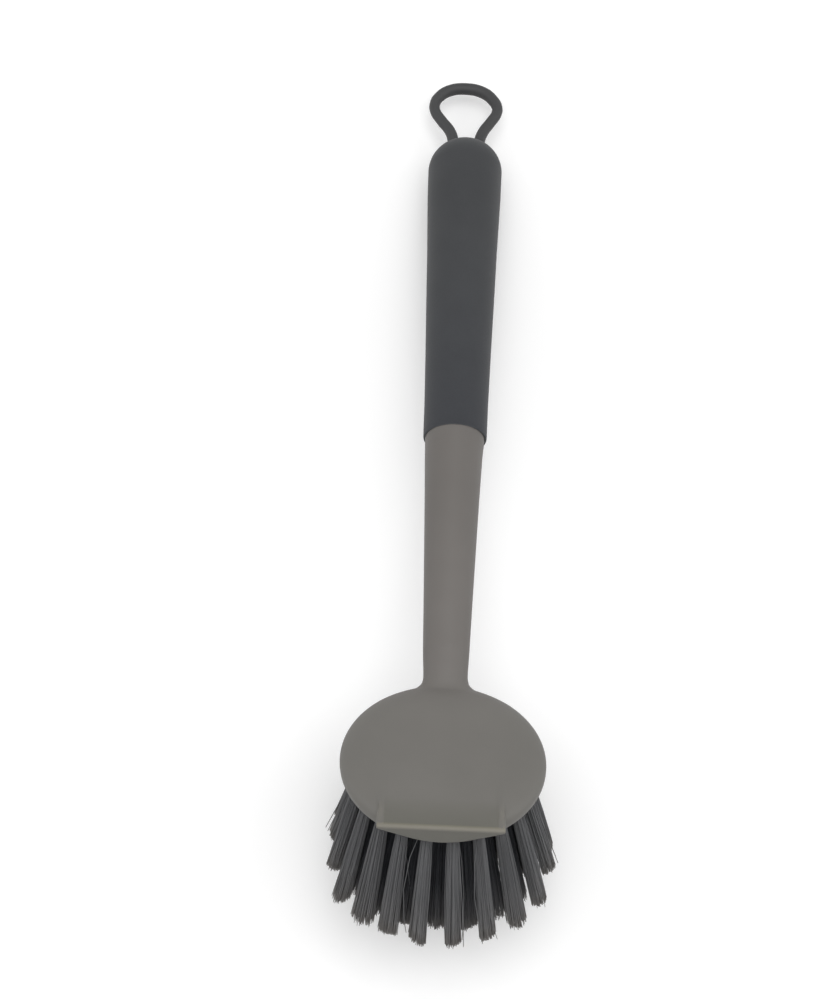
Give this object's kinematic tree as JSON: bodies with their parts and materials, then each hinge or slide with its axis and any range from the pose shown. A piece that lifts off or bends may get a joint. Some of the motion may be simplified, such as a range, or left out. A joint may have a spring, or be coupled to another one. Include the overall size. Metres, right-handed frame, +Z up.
{
  "type": "dish brush",
  "caption": "Dish brush with a round bristle head, a straight scraper lip at its front, a raised slim handle with a soft grip, and a hanging loop at its end.",
  "frame": {"origin": "on the table under the middle of the brush as it lies at rest, halfway along its length and width", "axes": "+Y from the head to the hanging loop, +Z up from the table, +X to the right seen from the head"},
  "size_m": [0.069, 0.2988, 0.0676],
  "materials": {
    "body_plastic": "satin moulded polypropylene, warm grey",
    "grip_rubber": "matte soft-touch elastomer, dark grey",
    "loop_plastic": "matte flexible plastic, dark grey",
    "bristle_nylon": "satin nylon filament, dark grey",
    "anchor_wire": "drawn flat wire, bright"
  },
  "bodies": {
    "root": {"handle_body": "body_plastic", "soft_grip": "grip_rubber", "hanging_loop": "loop_plastic", "outer_bristle_ring": "bristle_nylon", "middle_bristle_ring": "bristle_nylon", "inner_bristle_ring": "bristle_nylon", "centre_bristle_ring": "bristle_nylon", "outer_tuft_anchor_01": "anchor_wire", "outer_tuft_anchor_02": "anchor_wire", "outer_tuft_anchor_03": "anchor_wire", "outer_tuft_anchor_04": "anchor_wire", "outer_tuft_anchor_05": "anchor_wire", "outer_tuft_anchor_06": "anchor_wire", "outer_tuft_anchor_07": "anchor_wire", "outer_tuft_anchor_08": "anchor_wire", "outer_tuft_anchor_09": "anchor_wire", "outer_tuft_anchor_10": "anchor_wire", "outer_tuft_anchor_11": "anchor_wire", "outer_tuft_anchor_12": "anchor_wire", "outer_tuft_anchor_13": "anchor_wire", "outer_tuft_anchor_14": "anchor_wire", "outer_tuft_anchor_15": "anchor_wire", "outer_tuft_anchor_16": "anchor_wire", "outer_tuft_anchor_17": "anchor_wire", "outer_tuft_anchor_18": "anchor_wire", "outer_tuft_anchor_19": "anchor_wire", "outer_tuft_anchor_20": "anchor_wire", "middle_tuft_anchor_01": "anchor_wire", "middle_tuft_anchor_02": "anchor_wire", "middle_tuft_anchor_03": "anchor_wire", "middle_tuft_anchor_04": "anchor_wire", "middle_tuft_anchor_05": "anchor_wire", "middle_tuft_anchor_06": "anchor_wire", "middle_tuft_anchor_07": "anchor_wire", "middle_tuft_anchor_08": "anchor_wire", "middle_tuft_anchor_09": "anchor_wire", "middle_tuft_anchor_10": "anchor_wire", "middle_tuft_anchor_11": "anchor_wire", "middle_tuft_anchor_12": "anchor_wire", "middle_tuft_anchor_13": "anchor_wire", "middle_tuft_anchor_14": "anchor_wire", "middle_tuft_anchor_15": "anchor_wire", "middle_tuft_anchor_16": "anchor_wire", "middle_tuft_anchor_17": "anchor_wire", "middle_tuft_anchor_18": "anchor_wire", "inner_tuft_anchor_01": "anchor_wire", "inner_tuft_anchor_02": "anchor_wire", "inner_tuft_anchor_03": "anchor_wire", "inner_tuft_anchor_04": "anchor_wire", "inner_tuft_anchor_05": "anchor_wire", "inner_tuft_anchor_06": "anchor_wire", "inner_tuft_anchor_07": "anchor_wire", "inner_tuft_anchor_08": "anchor_wire", "inner_tuft_anchor_09": "anchor_wire", "inner_tuft_anchor_10": "anchor_wire", "centre_tuft_anchor_01": "anchor_wire", "centre_tuft_anchor_02": "anchor_wire", "centre_tuft_anchor_03": "anchor_wire", "centre_tuft_anchor_04": "anchor_wire"}
  },
  "joints": []
}
